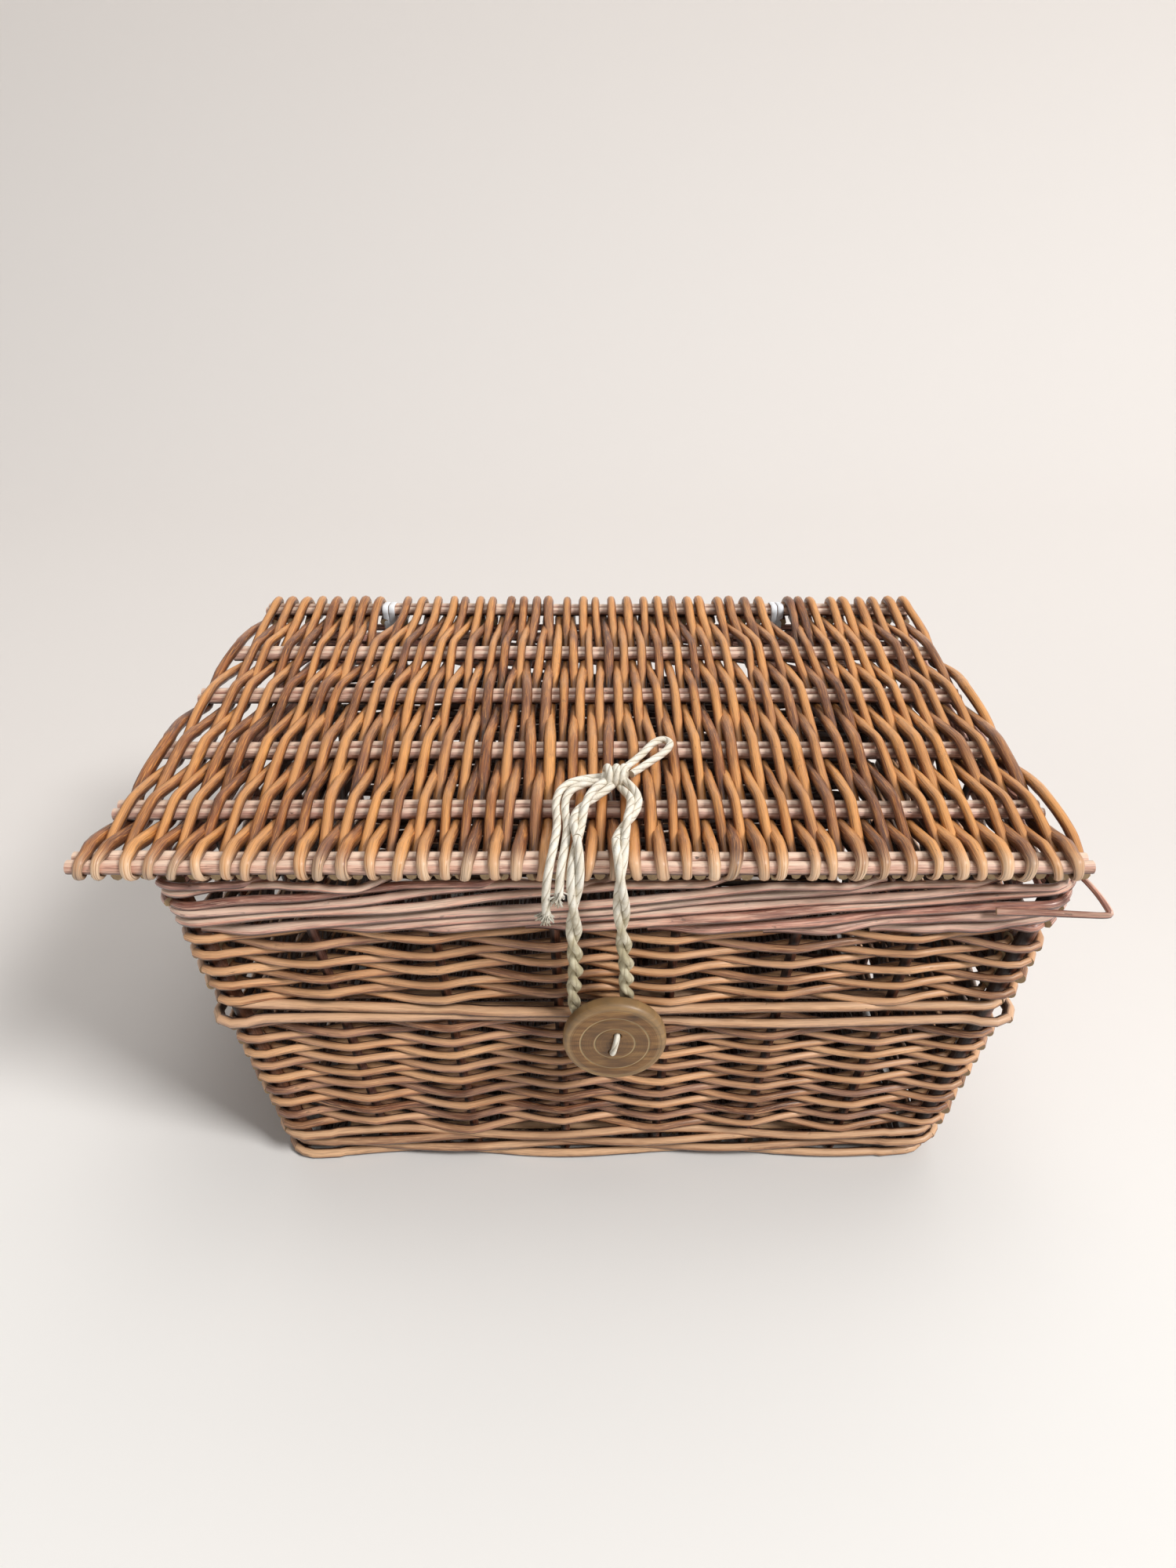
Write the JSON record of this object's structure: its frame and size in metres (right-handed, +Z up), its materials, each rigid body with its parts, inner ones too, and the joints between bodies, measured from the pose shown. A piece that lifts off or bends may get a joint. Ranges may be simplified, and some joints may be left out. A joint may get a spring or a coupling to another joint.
{
  "type": "wicker fishing creel",
  "caption": "Tapered rectangular wicker creel with a flat woven lid on twine hinges, closed by a string loop over a round wooden button.",
  "frame": {"origin": "middle of the base, on the surface that the basket stands on", "axes": "X along the length to the right as seen from the button side, Y from the button side to the hinge side, Z up"},
  "size_m": [0.4564, 0.3444, 0.2423],
  "materials": {
    "wall_willow": "satin",
    "lid_willow": "satin",
    "stick_willow": "satin",
    "border_willow": "satin",
    "stake_willow": "satin",
    "button_wood": "satin",
    "twine": "matte",
    "tie_twine": "matte"
  },
  "bodies": {
    "basket": {"corner_posts": "stake_willow", "base_weave": "wall_willow", "base_sticks": "stake_willow", "hinge_rod": "border_willow", "button_shank_cord": "twine", "front_stakes": "stake_willow", "right_stakes": "stake_willow", "back_stakes": "stake_willow", "left_stakes": "stake_willow", "front_lower_weave": "wall_willow", "right_lower_weave": "wall_willow", "back_lower_weave": "wall_willow", "left_lower_weave": "wall_willow", "front_upper_weave": "wall_willow", "right_upper_weave": "wall_willow", "back_upper_weave": "wall_willow", "left_upper_weave": "wall_willow", "front_foot_wale": "wall_willow", "right_foot_wale": "wall_willow", "back_foot_wale": "wall_willow", "left_foot_wale": "wall_willow", "front_middle_wale": "wall_willow", "right_middle_wale": "wall_willow", "back_middle_wale": "wall_willow", "left_middle_wale": "wall_willow", "front_border": "border_willow", "right_border": "border_willow", "back_border": "border_willow", "left_border": "border_willow"},
    "lid": {"lid_front_sticks": "stick_willow", "lid_second_sticks": "stick_willow", "lid_third_sticks": "stick_willow", "lid_fourth_sticks": "stick_willow", "lid_fifth_sticks": "stick_willow", "lid_rear_sticks": "stick_willow", "lid_rods_over_front": "lid_willow", "lid_rods_under_front": "lid_willow", "hinge_tie_left": "tie_twine", "hinge_tie_right": "tie_twine", "string_knot": "twine", "string_left_on_lid": "twine", "string_right_on_lid": "twine", "string_tails": "twine", "string_end_loop": "twine"},
    "button": {"button": "button_wood", "button_stitch": "twine"},
    "string_loop": {"string_loop": "twine"}
  },
  "joints": [
    {"name": "lid_hinge", "type": "hinge", "parent": "basket", "child": "lid", "pos_m": [0, 0.15541, 0.211], "axis": [-1, 0, 0], "range_deg": [0, 100]},
    {"name": "loop_swing", "type": "hinge", "parent": "lid", "child": "string_loop", "pos_m": [0, -0.1595, 0.2238], "axis": [-1, 0, 0], "range_deg": [-72, 0], "deforming": ["string_loop"]},
    {"name": "button_turn", "type": "hinge", "parent": "basket", "child": "button", "pos_m": [0, -0.16, 0.1223], "axis": [0, -1, 0], "range_deg": [-90, 90]}
  ],
  "couplings": [
    {"joint": "loop_swing", "follows": "lid_hinge", "ratio": -0.72}
  ]
}
